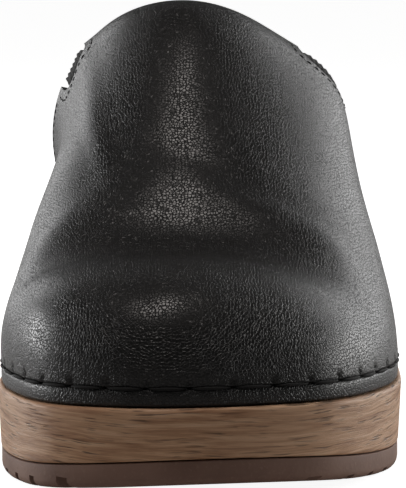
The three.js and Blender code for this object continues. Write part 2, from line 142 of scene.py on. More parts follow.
def outline_at(t):
    t = np.mod(t, 1)
    return np.stack([np.interp(t, LOOP_SHARE, LOOP[:, k]) for k in (0, 1)], axis=-1)


def outward(t):
    """Unit vectors away from the sole, square to its outline."""
    along = outline_at(t + 1e-3) - outline_at(t - 1e-3)
    return unit(np.stack([-along[..., 1], along[..., 0]], axis=-1))


def from_toe(t):
    """Distance round the outline from the toe, negative on the outer side of the foot."""
    return (np.mod(t + 0.5, 1) - 0.5) * OUTLINE_LENGTH


def edge(t, inset):
    return outline_at(t) - outward(t) * np.asarray(inset)[..., None]


def toe_share(x, y):
    share = np.maximum(0, (BALL_FRONT - y + BALL_SLANT * x) / (HALF + BALL_FRONT))
    return share**2


def wood_bottom(x, y):
    arch = smooth(y, ARCH_START, ARCH_TOP) * (1 - smooth(y, BREAST_TOP, BREAST_FOOT))
    return TREAD + TOE_SPRING * toe_share(x, y) + ARCH_RISE * arch


def wood_top(x, y):
    toe_rise = TOE_SPRING + WOOD_AT_TOE - WOOD_AT_BALL
    heel_rise = HEEL_LIFT * smooth(y, SLOPE_START, SLOPE_END)
    return TREAD + WOOD_AT_BALL + toe_rise * toe_share(x, y) + heel_rise


# ---- Meshes ----

def make_mesh(name, points, faces, weld=0.0, uv=None):
    """A smooth-shaded object from points in millimetres; uv gives (u, v) in metres for each point."""
    mesh = bpy.data.meshes.new(name)
    mesh.from_pydata((np.asarray(points, float) * MM).tolist(), [], faces)
    if uv is not None:
        layer = mesh.uv_layers.new(name="Wrap")
        corners = np.empty(len(mesh.loops), int)
        mesh.loops.foreach_get("vertex_index", corners)
        layer.data.foreach_set("uv", np.asarray(uv, np.float32)[corners].ravel())
    built = bmesh.new()
    built.from_mesh(mesh)
    if weld:
        bmesh.ops.remove_doubles(built, verts=built.verts, dist=weld * MM)
    bmesh.ops.recalc_face_normals(built, faces=built.faces)
    built.to_mesh(mesh)
    built.free()
    mesh.polygons.foreach_set("use_smooth", [True] * len(mesh.polygons))
    piece = bpy.data.objects.new(name, mesh)
    bpy.context.scene.collection.objects.link(piece)
    return piece


def grid_faces(rows, cols, start=0, flip=False):
    """Quads of a grid of points whose rows follow each other."""
    faces = []
    for i in range(rows - 1):
        for j in range(cols - 1):
            a = start + i * cols + j
            quad = (a, a + cols, a + cols + 1, a + 1)
            faces.append(quad[::-1] if flip else quad)
    return faces


def loop_faces(here, there):
    """Quads between two closed loops of point numbers."""
    count = len(here)
    return [(here[k], here[(k + 1) % count], there[(k + 1) % count], there[k]) for k in range(count)]


def finish_piece(piece, material, slot, *nodes):
    """Gives a piece its material and its place in the frame."""
    piece.data.materials.clear()
    piece.data.materials.append(material)
    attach(piece, "root")
    if nodes:
        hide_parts(*nodes)
    return piece


def sole_body(name, profile, around=360, across=26, top_shape=None, bottom_shape=None):
    """
    A body that follows the sole's outline. The profile lists (inset, level) from the bottom's
    edge to the top's edge, with the level as a function of x and y. The caps are ruled across,
    and their inner points are lifted by top_shape and bottom_shape, functions of x, y and the
    distance from the edge.
    """
    t = np.arange(around) / around
    rings, points, uv = [], [], []
    for inset, level in profile:
        xy = edge(t, np.full(around, float(inset)))
        ring = np.column_stack([xy, level(xy[:, 0], xy[:, 1])])
        rings.append(np.arange(around) + len(points))
        points.extend(ring)
        uv.extend(np.column_stack([from_toe(t), ring[:, 2]]) * MM)
    faces = []
    for low, high in zip(rings, rings[1:]):
        faces += loop_faces(low, high)
    walls = len(faces)
    for ring, level, shape in (
        (rings[0], profile[0][1], bottom_shape), (rings[-1], profile[-1][1], top_shape)
    ):
        half = around // 2
        rows = [[ring[0]]]
        for k in range(1, half):
            a, b = points[ring[k]], points[ring[around - k]]
            row = [ring[k]]
            for share in np.linspace(0, 1, across + 1)[1:-1]:
                x, y = a[0] + (b[0] - a[0]) * share, a[1] + (b[1] - a[1]) * share
                z = float(level(x, y))
                if shape is not None:
                    from_edge = min(share, 1 - share) * math.dist(a[:2], b[:2])
                    z += float(shape(x, y, from_edge))
                row.append(len(points))
                points.append(np.array([x, y, z]))
                uv.append((0, 0))
            row.append(ring[around - k])
            rows.append(row)
        rows.append([ring[half]])
        for here, there in zip(rows, rows[1:]):
            if len(here) == 1:
                faces += [(here[0], there[j], there[j + 1]) for j in range(len(there) - 1)]
            elif len(there) == 1:
                faces += [(here[j], there[0], here[j + 1]) for j in range(len(here) - 1)]
            else:
                faces += [(here[j], there[j], there[j + 1], here[j + 1]) for j in range(len(here) - 1)]
    piece = make_mesh(name, points, faces, uv=uv)
    lay_grain(piece, walls)
    return piece


def lay_grain(piece, walls):
    """Mends the wrap where it closes at the heel, and lays the caps' grain lengthwise."""
    mesh = piece.data
    layer = mesh.uv_layers["Wrap"]
    for face in mesh.polygons:
        corners = list(face.loop_indices)
        if face.index >= walls:
            for corner in corners:
                x, y, _ = mesh.vertices[mesh.loops[corner].vertex_index].co
                layer.data[corner].uv = (y, x)
            continue
        along = [layer.data[corner].uv[0] for corner in corners]
        if max(along) - min(along) < OUTLINE_LENGTH * MM / 2:
            continue
        for corner in corners:
            if layer.data[corner].uv[0] < 0:
                layer.data[corner].uv[0] += OUTLINE_LENGTH * MM


def rounded(inset, level, radius, upwards, inwards=True, steps=5):
    """Profile steps round an edge: from the wall to the cap if upwards, else from cap to wall."""
    steps_out = []
    for k in range(steps + 1):
        angle = math.pi / 2 * k / steps
        into = radius * (1 - math.cos(angle))
        drop = radius * (1 - math.sin(angle))
        sign = -1 if upwards else 1
        steps_out.append((
            inset + (into if inwards else -into),
            lambda x, y, d=drop: level(x, y) + sign * d,
        ))
    return steps_out if upwards else steps_out[::-1]


def cut_with(piece, cutters):
    """Cuts the piece with boxes, given as (low corner, high corner) in millimetres."""
    points, faces = [], []
    for low, high in cutters:
        start = len(points)
        points += [
            (x, y, z) for x in (low[0], high[0]) for y in (low[1], high[1]) for z in (low[2], high[2])]
        faces += [[start + k for k in quad] for quad in (
            (0, 1, 3, 2), (4, 6, 7, 5), (0, 4, 5, 1), (2, 3, 7, 6), (0, 2, 6, 4), (1, 5, 7, 3))]
    knife = make_mesh("knife", points, faces)
    modifier = piece.modifiers.new("cut", "BOOLEAN")
    modifier.operation = "DIFFERENCE"
    modifier.solver = "EXACT"
    modifier.object = knife
    apply_modifiers(piece)
    bpy.data.objects.remove(knife)


def apply_modifiers(piece):
    graph = bpy.context.evaluated_depsgraph_get()
    made = bpy.data.meshes.new_from_object(piece.evaluated_get(graph))
    old = piece.data
    piece.modifiers.clear()
    piece.data = made
    bpy.data.meshes.remove(old)


# ---- The vamp's surface ----

def ridge_share(u):
    return np.maximum(0, (np.abs(2 * u - 1) - TOE_FAN) / (1 - TOE_FAN))


def by_side(pair, u):
    return mix(*pair, smooth(u, 0.4, 0.6))


def ridge_point(share):
    front = float(wood_top(RIDGE_X, RIDGE_FRONT)) + TOE_BOX
    throat = float(wood_top(RIDGE_X, THROAT_Y)) + THROAT_HEIGHT
    y = mix(RIDGE_FRONT, THROAT_Y, share)
    return np.stack([
        np.full_like(y, RIDGE_X), y, mix(front, throat, smooth(share, 0, RIDGE_LEVEL_END))], axis=-1)


def vamp_lines(u):
    """The four Bezier points of the line of v at each u."""
    t = mix(WING_END, -WING_END, u)
    share = ridge_share(u)
    foot_xy = edge(t, np.full_like(t, RAND_INSET))
    foot = np.column_stack([
        foot_xy, wood_top(foot_xy[:, 0], foot_xy[:, 1]) + RAND_HEIGHT + 2 * CLEARANCE])
    top = ridge_point(share)
    side = np.where(u < 0.5, -1.0, 1.0)
    reach = foot[:, :2] - top[:, :2]
    sideways = np.column_stack([side, np.zeros_like(side)])
    across = unit(mix(unit(reach), sideways, np.minimum(1, share * 4)[:, None]))
    half_width = mix(
        np.linalg.norm(reach, axis=1), np.abs(reach[:, 0]), np.minimum(1, share * 4))
    near_throat = np.minimum(1, share * 1.4)
    wall = mix(by_side(TOE_WALL, u), by_side(THROAT_WALL, u), near_throat)
    crown = mix(by_side(TOE_CROWN, u) * half_width, by_side(THROAT_CROWN, u), near_throat)
    bow = mix(by_side(TOE_BOW, u), by_side(THROAT_BOW, u), smooth(share, 0.15, 0.9))
    foot_handle = foot.copy()
    foot_handle[:, :2] += outward(t) * bow[:, None]
    foot_handle[:, 2] += wall * (top[:, 2] - foot[:, 2])
    top_handle = top.copy()
    top_handle[:, :2] += across * crown[:, None]
    return foot, foot_handle, top_handle, top


def vamp_base(u, v):
    """Points of the plain surface, for arrays of u and v of one length."""
    a, b, c, d = vamp_lines(u)
    v = v[:, None]
    return a * (1 - v)**3 + 3 * b * v * (1 - v)**2 + 3 * c * v**2 * (1 - v) + d * v**3


def vamp_normal(u, v):
    step = 1e-3
    along_u = vamp_base(u + step, v) - vamp_base(u - step, v)
    along_v = vamp_base(u, np.minimum(v + step, 1)) - vamp_base(u, np.maximum(v - step, 0))
    normal = unit(np.cross(along_u, along_v))
    share = ridge_share(u)
    along_ridge = ridge_point(share + step) - ridge_point(share)
    on_ridge = unit(np.cross(np.array([1.0, 0, 0]), along_ridge))
    near = smooth(v, 0.985, 0.998)[:, None]
    return unit(normal * (1 - near) + on_ridge * near)


def creases(points, v):
    """How far the worn leather stands up from the plain surface, in millimetres."""
    x, y, z = points.T
    side = x - RIDGE_X
    flex = y + 0.10 * side
    valley = -0.9 * bump(flex, -74, 10) * smooth(v, 0.25, 0.6)
    swell = 0.6 * bump(flex, -57, 8) * smooth(v, 0.3, 0.6)
    second_span = smooth(v, 0.35, 0.7) * bump(side, 10, 26)
    second = -0.7 * bump(flex + 3 * np.sin(side / 11), -50, 4.5) * second_span
    inner_span = smooth(z, 66, 78) * (1 - smooth(z, 96, 106))
    inner = bump(side + 24 + 0.22 * (z - 88), 0, 3.4) * inner_span
    outer_span = smooth(side, 6, 24) * (1 - smooth(side, 40, 47))
    outer = 0.9 * bump(z - 62 + 0.35 * (side - 22), 0, 5) * outer_span
    soft = 0.35 * np.sin(x / 9 + 1.3) * np.sin(y / 13 + 0.4) * np.sin(z / 11)
    return (valley + swell + second + inner + outer + soft) * smooth(v, 0.02, 0.14)


def swelling(u, v):
    """How far the leather swells out over its lines, beside the throat."""
    height = np.exp(-(((v - SHOULDER_MIDDLE) / SHOULDER_SPREAD) ** 2))
    return by_side(SHOULDER, u) * smooth(ridge_share(u), 0.45, 0.95) * height


def vamp_points(u, v, lift=0.0):
    """Points of the leather's outer surface, moved out by the lift."""
    base = vamp_base(u, v)
    lift = creases(base, v) + swelling(u, v) + lift
    return base + vamp_normal(u, v) * lift[:, None]


def slot_edge(v, grow_u=0.0, grow_v=0.0):
    """Where the leather's edge lies along u, at each v: 0 on the topline, more in the gore's slot."""
    share = (v - SLOT_MIDDLE) / (SLOT_HALF + grow_v)
    inside = np.maximum(0, 1 - share**2)
    return (SLOT_DEPTH + grow_u) * inside**0.25


def slot_levels(grow_v=0.0, steps=22):
    """Values of v that follow the slot's round sides closely."""
    angle = np.linspace(0, math.pi, steps)
    return SLOT_MIDDLE + (SLOT_HALF + grow_v) * np.cos(angle)


ROWS = 230
UPPER_MM_V = 80  # about the length of a line of v
WELT_MARGIN = 0.006
PUCKER, PUCKER_ROWS = 0.7, (-1.6, -0.9, -0.4, 0, 0.4, 0.9, 1.6)


def hole_shares():
    """Shares of u where the welt's thread goes through the leather."""
    count = round(UPPER_LENGTH * (1 - 2 * WELT_MARGIN) / STITCH_LENGTH)
    return np.linspace(WELT_MARGIN, 1 - WELT_MARGIN, count + 1)


def upper_levels(grow_v=0.0):
    """Values of v for the leather: close together at the rounded lower edge and at the slot."""
    foot = np.array([0, 0.15, 0.4, 0.8, 1.3, 1.9, 2.6, 3.5]) / UPPER_MM_V
    rest = np.linspace(foot[-1], 1, 70)[1:]
    slot = slot_levels(grow_v)
    low, high = slot.min() - 0.004, slot.max() + 0.004
    rest = rest[(rest < low) | (rest > high)]
    return np.sort(np.concatenate([foot, rest, slot]))


def rounding(distance, radius):
    """How far a rounded edge drops at a distance from it."""
    reach = np.clip(radius - distance, 0, radius)
    return radius - np.sqrt(np.maximum(radius**2 - reach**2, 0))


def leather_layer(name, top_lift, thickness, edge_inset, grow_u, grow_v, radius, foot_radius):
    """A closed layer of the upper, from the lower edge to the topline, with the gores' slots."""
    levels = upper_levels(grow_v)
    near_edge = np.array([0, 0.12, 0.3, 0.55, 0.9, 1.5]) / UPPER_LENGTH
    inner_rows = np.linspace(near_edge[-1], 1 - near_edge[-1], ROWS)[1:-1]
    round_holes = (hole_shares()[:, None] + np.array(PUCKER_ROWS) / UPPER_LENGTH).ravel()
    round_holes = round_holes[(round_holes > inner_rows[0]) & (round_holes < inner_rows[-1])]
    rows = np.concatenate([near_edge, np.sort([*inner_rows, *round_holes]), 1 - near_edge[::-1]])
    s, v = (g.ravel() for g in np.meshgrid(rows, levels, indexing="ij"))
    start = slot_edge(v, grow_u, grow_v) + edge_inset / UPPER_LENGTH
    u = mix(start, 1 - start, s)
    from_topline = np.minimum(s, 1 - s) * UPPER_LENGTH
    from_foot = v * UPPER_MM_V
    drop = rounding(from_topline, radius) + rounding(from_foot, foot_radius)
    under = rounding(from_topline, radius) + rounding(from_foot, min(foot_radius, thickness * 0.4))
    lift = top_lift(u, v)
    outer = vamp_points(u, v, lift - drop)
    inner = vamp_points(u, v, lift - thickness + under)
    count, cols = len(outer), len(levels)
    faces = grid_faces(len(rows), cols) + grid_faces(len(rows), cols, count, flip=True)
    for k in range(len(rows) - 1):
        a, b = k * cols, (k + 1) * cols
        faces.append((b, a, a + count, b + count))
    last = (len(rows) - 1) * cols
    for j in range(cols - 1):
        faces.append((j, j + 1, j + 1 + count, j + count))
        faces.append((last + j + 1, last + j, last + j + count, last + j + 1 + count))
    return make_mesh(name, np.concatenate([outer, inner]), faces, weld=0.004)


def lining_dip(u, v):
    """How far the lining bends inwards, past the toe puff and the topline tape."""
    columns, rows = 17, 54
    foot, top, ends = 2 / columns, 11 / columns, (18 / rows, 36 / rows)
    in_toe = smooth(u, ends[0] - 0.04, ends[0] - 0.005) * (1 - smooth(u, ends[1] + 0.005, ends[1] + 0.04))
    in_puff = in_toe * smooth(v, foot - 0.06, foot - 0.005) * (1 - smooth(v, top + 0.05, top + 0.16))
    tape_reach, tape_foot = 0.026, 1 - 5 / columns
    from_topline = np.minimum(u, 1 - u)
    in_tape = (1 - smooth(from_topline, tape_reach + 0.006, tape_reach + 0.03)) * smooth(
        v, tape_foot - 0.1, tape_foot - 0.03)
    return (PUFF + CLEARANCE) * in_puff + (TAPE + CLEARANCE) * in_tape


# ---- Threads ----

def tube(centres, radius, sides=8):
    """Points and faces of a closed tube along the centres, tapered into points at both ends."""
    centres = np.asarray(centres)
    along = unit(np.gradient(centres, axis=0))
    helper = np.array([0.0, 0, 1]) if abs(along[len(along) // 2][2]) < 0.8 else np.array([1.0, 0, 0])
    right = unit(np.cross(along, helper))
    up = np.cross(right, along)
    k = np.arange(len(centres)) / (len(centres) - 1)
    size = radius * np.clip(np.sin(math.pi * np.clip(k, 0.02, 0.98)) ** 0.35, 0.05, 1)
    angle = np.arange(sides) * 2 * math.pi / sides
    ring = (
        right[:, None] * np.cos(angle)[None, :, None] + up[:, None] * np.sin(angle)[None, :, None]
    ) * size[:, None, None]
    points = (centres[:, None] + ring).reshape(-1, 3)
    faces = []
    for i in range(len(centres) - 1):
        here = [i * sides + j for j in range(sides)]
        faces += loop_faces(here, [k + sides for k in here])
    faces.append(tuple(range(sides))[::-1])
    faces.append(tuple(range((len(centres) - 1) * sides, len(centres) * sides)))
    return points, faces


def stitches(name, path, count, gap, radius, rise, sink):
    """
    A row of stitches along a path from path_through(). Each one comes out of its hole, lies on the
    leather and dives again.
    """
    total, place = path
    pitch = total / count
    points, faces = [], []
    for k in range(count):
        share = np.linspace(0, 1, 13)
        at, normal = place(k * pitch + gap / 2 + share * (pitch - gap))
        arch = np.sin(math.pi * share) ** 0.5
        centres = at + normal * (mix(-sink, rise, arch))[:, None]
        tube_points, tube_faces = tube(centres, radius)
        start = len(points)
        points.extend(tube_points)
        faces += [tuple(start + j for j in face) for face in tube_faces]
    return make_mesh(name, points, faces)


def path_through(at, normal):
    """A path for stitches(): its length, and its points and normals by the distance along it."""
    run = np.concatenate([[0], np.cumsum(np.linalg.norm(np.diff(at, axis=0), axis=1))])

    def place(distance):
        at_here = np.stack([np.interp(distance, run, at[:, k]) for k in range(3)], axis=-1)
        normal_here = np.stack([np.interp(distance, run, normal[:, k]) for k in range(3)], axis=-1)
        return at_here, unit(normal_here)

    return run[-1], place


def surface_path(u, v):
    """A path over the leather through arrays of u and v."""
    return path_through(vamp_points(u, v), vamp_normal(u, v))


# ---- Materials ----

class Nodes:
    """Short calls for a material's node tree."""

    def __init__(self, name):
        self.material = bpy.data.materials.new(name)
        self.material.use_nodes = True
        self.tree = self.material.node_tree
        self.shader = self.tree.nodes["Principled BSDF"]

    def add(self, kind, **settings):
        node = self.tree.nodes.new(kind)
        for key, value in settings.items():
            if key in ("links", "values"):
                continue
            setattr(node, key, value)
        for key, value in settings.get("values", {}).items():
            node.inputs[key].default_value = value
        for key, source in settings.get("links", {}).items():
            self.tree.links.new(source, node.inputs[key])
        return node

    def place(self, scale=(1, 1, 1), uv=False):
        coords = self.add("ShaderNodeTexCoord")
        source = coords.outputs["UV" if uv else "Object"]
        return self.add("ShaderNodeMapping", links={"Vector": source}, values={"Scale": scale}).outputs[0]

    def noise(self, vector, scale, detail=4, rough=0.5, distort=0.0):
        return self.add("ShaderNodeTexNoise", links={"Vector": vector}, values={
            "Scale": scale, "Detail": detail, "Roughness": rough, "Distortion": distort}).outputs["Fac"]

    def voronoi(self, vector, scale, feature="F1", random=1.0):
        node = self.add("ShaderNodeTexVoronoi", feature=feature, links={"Vector": vector}, values={
            "Scale": scale, "Randomness": random})
        return node.outputs["Distance"]

    def ramp(self, factor, stops):
        node = self.add("ShaderNodeValToRGB", links={"Fac": factor})
        elements = node.color_ramp.elements
        while len(elements) < len(stops):
            elements.new(0.5)
        for element, (position, colour) in zip(elements, stops):
            element.position = position
            element.color = (*colour, 1) if len(colour) == 3 else colour
        return node.outputs["Color"]

    def remap(self, factor, low, high, from_low=0.0, from_high=1.0):
        return self.add("ShaderNodeMapRange", links={"Value": factor}, values={
            "From Min": from_low, "From Max": from_high, "To Min": low, "To Max": high}).outputs["Result"]

    def math(self, operation, a, b=0.0):
        node = self.add("ShaderNodeMath", operation=operation)
        for k, value in enumerate((a, b)):
            if isinstance(value, (int, float)):
                node.inputs[k].default_value = value
            else:
                self.tree.links.new(value, node.inputs[k])
        return node.outputs[0]

    def blend(self, factor, a, b, mode="MIX"):
        node = self.add("ShaderNodeMix", data_type="RGBA", blend_type=mode)
        for socket, value in ((node.inputs[0], factor), (node.inputs[6], a), (node.inputs[7], b)):
            if isinstance(value, tuple):
                socket.default_value = (*value, 1)
            elif isinstance(value, (int, float)):
                socket.default_value = value
            else:
                self.tree.links.new(value, socket)
        return node.outputs[2]

    def bump(self, height, distance, strength=1.0, under=None):
        links = {"Height": height}
        if under is not None:
            links["Normal"] = under
        return self.add("ShaderNodeBump", links=links, values={
            "Strength": strength, "Distance": distance}).outputs["Normal"]

    def set(self, **values):
        for key, value in values.items():
            socket = self.shader.inputs[key.replace("_", " ")]
            if isinstance(value, (int, float, tuple)):
                socket.default_value = value
            else:
                self.tree.links.new(value, socket)
        return self.material


CELL_SHAKE = 0.3  # how far the pebbles' cells are bent, as a share of a cell
CRACK_HALF_WIDTH = 0.16  # from a cell's edge to the top of its pebble, as a share of a cell


def leather_material(name, dark, light, grain=1280, rough=(0.27, 0.60), depth=0.00009):
    """Pebbled leather: glossy flat tops of even pebbles between dull cracks, with painted shade darkening
    the cracks.
    """
    n = Nodes(name)
    place = n.place()
    bent = n.add("ShaderNodeVectorMath", operation="ADD")
    n.tree.links.new(place, bent.inputs[0])
    shake = n.add("ShaderNodeTexNoise", links={"Vector": place}, values={
        "Scale": grain * 0.5, "Detail": 1.0})
    small = n.add("ShaderNodeVectorMath", operation="SCALE", links={0: shake.outputs["Color"]})
    small.inputs["Scale"].default_value = CELL_SHAKE / grain
    n.tree.links.new(small.outputs[0], bent.inputs[1])
    cells = n.voronoi(bent.outputs[0], grain, "DISTANCE_TO_EDGE", 0.85)
    pebble = n.remap(cells, 0, 1, 0.0, CRACK_HALF_WIDTH)
    broad = n.voronoi(place, grain * 0.3, "F1")
    pores = n.noise(place, grain * 4.5, 2)
    wear = n.noise(place, 38, 5, 0.6)
    height = n.math("ADD", pebble, n.math("MULTIPLY", broad, -0.12))
    # Painted shade: the cracks between the pebbles take the darker colour and the pebble tops take the
    # lighter one.
    colour = n.blend(pebble, dark, light)
    colour = n.blend(n.remap(wear, 0, 0.5, 0.45, 0.75), colour, tuple(c * 1.5 for c in light))
    crack = n.math("MULTIPLY", n.math("SUBTRACT", 1.0, pebble), 0.75)
    dull = n.math("ADD", n.math("MULTIPLY", wear, 0.3), crack)
    normal = n.bump(height, depth)
    normal = n.bump(pores, depth * 0.12, 0.5, normal)
    return n.set(
        Base_Color=colour, Roughness=n.remap(dull, *rough), Normal=normal, Specular_IOR_Level=0.5)


def wood_material():
    """Brown-stained varnished wood whose streaks run round the sole, and lengthwise on its caps."""
    n = Nodes("wood_stained")
    wrap = n.place(uv=True)
    warp = n.noise(wrap, 14, 3)
    lifted = n.add("ShaderNodeCombineXYZ", links={"Y": n.math("MULTIPLY", warp, 0.006)})
    bent = n.add("ShaderNodeVectorMath", operation="ADD")
    n.tree.links.new(wrap, bent.inputs[0])
    n.tree.links.new(lifted.outputs[0], bent.inputs[1])

    def stretched(along, across):
        scale = {"Scale": (along, across, 1)}
        return n.add("ShaderNodeMapping", links={"Vector": bent.outputs[0]}, values=scale).outputs[0]

    streaks = n.noise(stretched(40, 720), 1, 8, 0.62, 0.35)
    fibres = n.noise(stretched(78, 2700), 1, 5, 0.7)
    dashes = n.noise(stretched(110, 1900), 1, 2)
    breaks = n.noise(stretched(60, 260), 1, 3)
    broad = n.noise(wrap, 30, 3)
    colour = n.ramp(streaks, [
        (0.30, (0.26, 0.120, 0.056)), (0.43, (0.50, 0.270, 0.145)),
        (0.55, (0.70, 0.425, 0.250)), (0.72, (0.84, 0.570, 0.370))])
    colour = n.blend(n.remap(fibres, 0, 0.55, 0.4, 0.7), colour, (0.34, 0.168, 0.088))
    dark_dash = n.math("MULTIPLY", n.remap(dashes, 0, 0.8, 0.56, 0.66), n.remap(breaks, 0, 1, 0.42, 0.56))
    colour = n.blend(dark_dash, colour, (0.060, 0.030, 0.014))
    colour = n.blend(n.remap(broad, 0, 0.35, 0.4, 0.75), colour, (0.80, 0.52, 0.345))
    height = n.math("SUBTRACT", n.math("ADD", streaks, n.math("MULTIPLY", fibres, 0.6)), dark_dash)
    return n.set(
        Base_Color=colour, Roughness=n.remap(streaks, 0.58, 0.42, 0.3, 0.7),
        Normal=n.bump(height, 0.00018), Specular_IOR_Level=0.4)


def rubber_material():
    n = Nodes("rubber_brown")
    place = n.place()
    speck = n.noise(place, 900, 3)
    cloud = n.noise(place, 45, 4)
    colour = n.blend(n.remap(cloud, 0, 1, 0.3, 0.7), (0.20, 0.115, 0.086), (0.31, 0.19, 0.145))
    colour = n.blend(n.remap(speck, 0, 0.4, 0.55, 0.8), colour, (0.38, 0.26, 0.20))
    return n.set(
        Base_Color=colour, Roughness=n.remap(speck, 0.62, 0.8), Normal=n.bump(speck, 0.00008),
        Specular_IOR_Level=0.35)


def cloth_material(name, dark, light, scale, rough=0.85, depth=0.0001):
    n = Nodes(name)
    place = n.place()
    weave = n.add("ShaderNodeTexWave", links={"Vector": place}, values={
        "Scale": scale, "Distortion": 1.5, "Detail": 2.0, "Detail Scale": 3.0}).outputs["Fac"]
    fuzz = n.noise(place, scale * 5, 3)
    both = n.math("MULTIPLY", weave, fuzz)
    return n.set(
        Base_Color=n.blend(both, dark, light), Roughness=n.remap(fuzz, rough - 0.1, rough + 0.1),
        Normal=n.bump(both, depth))


def foam_material(name, dark, light, scale):
    n = Nodes(name)
    place = n.place()
    cells = n.voronoi(place, scale)
    cloud = n.noise(place, 60, 3)
    colour = n.blend(n.math("MULTIPLY", cells, cloud), dark, light)
    return n.set(Base_Color=colour, Roughness=n.remap(cloud, 0.8, 0.95), Normal=n.bump(cells, 0.0002))


# The first colour of each leather goes into its cracks as painted shade.
BLACK_LEATHER = leather_material(
    "leather_black", (0.0018, 0.0017, 0.0016), (0.0055, 0.0050, 0.0048))
SOCK_LEATHER = leather_material(
    "leather_sock", (0.030, 0.019, 0.013), (0.055, 0.036, 0.026), 1900, (0.5, 0.65), 0.00006)
LINING_LEATHER = leather_material(
    "leather_lining", (0.22, 0.18, 0.14), (0.34, 0.29, 0.24), 1700, (0.6, 0.8), 0.00006)
WOOD = wood_material()
RUBBER = rubber_material()
ELASTIC = cloth_material("elastic_black", (0.004, 0.004, 0.004), (0.02, 0.02, 0.02), 420)
THREAD = cloth_material(
    "thread_black", (0.0015, 0.0015, 0.0015), (0.006, 0.006, 0.006), 900, 0.85, 0.00005)
FIBREBOARD = cloth_material("fibreboard", (0.22, 0.15, 0.09), (0.36, 0.27, 0.18), 300)
FOAM_CREAM = foam_material("foam_cream", (0.42, 0.36, 0.27), (0.62, 0.55, 0.43), 1400)
STIFFENER = foam_material("stiffener_sheet", (0.5, 0.47, 0.4), (0.7, 0.67, 0.6), 2400)
TAPE_CLOTH = cloth_material("tape_cloth", (0.45, 0.43, 0.38), (0.7, 0.68, 0.62), 700)


# ---- The sole ----

def make_wood():
    low_edge, high_edge = 0.6, 1.1

    def wall(k):
        return lambda x, y: mix(wood_bottom(x, y) + low_edge, wood_top(x, y) - high_edge, k)

    profile = [
        *rounded(WOOD_DRAFT, wood_bottom, low_edge, upwards=False),
        *[(mix(WOOD_DRAFT, 0, k), wall(k)) for k in (0.2, 0.4, 0.6, 0.8)],
        *rounded(0, wood_top, high_edge, upwards=True),
    ]
    piece = sole_body("wood_sole_carved", profile)
    return finish_piece(piece, WOOD, "wood", "wood_sole")


def make_tread(name, node, boxes):
    def bottom(x, y):
        return wood_bottom(x, y) - TREAD

    def top(x, y):
        return wood_bottom(x, y) - CLEARANCE

    low_edge, high_edge = 1.9, 0.4
    profile = [
        *rounded(TREAD_INSET, bottom, low_edge, upwards=False),
        (TREAD_INSET, lambda x, y: mix(bottom(x, y) + low_edge, top(x, y) - high_edge, 0.5)),
        *rounded(TREAD_INSET, top, high_edge, upwards=True, steps=3),
    ]
    piece = sole_body(name, profile)
    cut_with(piece, boxes)
    piece.data.set_sharp_from_angle(angle=math.radians(38))
    return finish_piece(piece, RUBBER, "rubber", node)


def groove_boxes(first, last):
    """Boxes for the grooves across a tread."""
    boxes = []
    for k in range(int((last - first) / GROOVE_PITCH) + 1):
        y = first + k * GROOVE_PITCH
        top = float(wood_bottom(0.0, y)) - TREAD + GROOVE_DEPTH
        low = (-BALL_WIDTH, y - GROOVE_WIDTH / 2, top - BELOW_TREAD)
        boxes.append((low, (BALL_WIDTH, y + GROOVE_WIDTH / 2, top)))
    return boxes


def make_sole():
    far = 2 * LENGTH
    make_wood()
    make_tread("forepart_tread_lugged", "forepart_tread", [
        ((-far, FOREPART_END, -far), (far, far, far)), *groove_boxes(FIRST_GROOVE, ARCH_START)])
    make_tread("heel_tread_lugged", "heel_tread", [
        ((-far, -far, -far), (far, HEEL_TREAD_START, far)), *groove_boxes(FIRST_HEEL_GROOVE, HALF - 8)])


# ---- The footbed and the rand ----

FOOTBED_INSET = RAND_INSET + VAMP + LINING + 3 * CLEARANCE
FOAM_FOOT = 2 * CLEARANCE + BOARD
SOCK_FOOT = FOAM_FOOT + FOAM + CLEARANCE


def cup(y, from_edge):
    return CUP * smooth(y, 0, 70) * (smooth(1 - from_edge / HEEL_HALF, 0.55, 1) - 1)


def footbed_top(x, y):
    return wood_top(x, y) + SOCK_FOOT + SOCK + CUP * smooth(y, 0, 70)


def make_footbed():
    def sock_bottom(x, y):
        return wood_top(x, y) + SOCK_FOOT + CUP * smooth(y, 0, 70)

    def foam_bottom(x, y):
        return wood_top(x, y) + FOAM_FOOT

    def foam_top(x, y):
        return wood_top(x, y) + FOAM_FOOT + FOAM + CUP * smooth(y, 0, 70)

    def hollow(x, y, from_edge):
        return cup(y, from_edge)

    foam = sole_body("footbed_pad", [
        *rounded(FOOTBED_INSET + 0.9, foam_bottom, 0.5, upwards=False, steps=3),
        *rounded(FOOTBED_INSET + 0.9, foam_top, 1.5, upwards=True),
    ], top_shape=hollow)
    finish_piece(foam, FOAM_CREAM, "foam", "footbed_foam")
    skirt = FOAM * 0.9
    sock = sole_body("sock_cover", [
        (FOOTBED_INSET + 0.75, lambda x, y: sock_bottom(x, y) - 0.02 - skirt),
        (FOOTBED_INSET, lambda x, y: sock_bottom(x, y) - skirt),
        *rounded(FOOTBED_INSET, footbed_top, 1.6, upwards=True),
    ], top_shape=hollow)
    return finish_piece(sock, SOCK_LEATHER, "sock_leather", "sock_liner")


def make_rand():
    around, sides = 420, 18
    t = np.arange(around) / around
    points = []
    centre_inset = RAND_INSET + RAND_THICKNESS / 2
    half_w, half_h = RAND_THICKNESS / 2, RAND_HEIGHT / 2
    for k in range(sides):
        angle = 2 * math.pi * k / sides
        c, s = math.cos(angle), math.sin(angle)
        across = half_w * math.copysign(abs(c) ** 0.6, c)
        height = half_h * math.copysign(abs(s) ** 0.5, s)
        xy = edge(t, np.full(around, centre_inset - across))
        z = wood_top(xy[:, 0], xy[:, 1]) + CLEARANCE + half_h + height
        points.extend(np.column_stack([xy, z]))
    faces = []
    for k in range(sides):
        here = list(range(k * around, (k + 1) * around))
        following = (k + 1) % sides
        faces += loop_faces(here, list(range(following * around, (following + 1) * around)))
    return finish_piece(make_mesh("rand_strip", points, faces), BLACK_LEATHER, "upper_leather", "rand")


# ---- The upper ----

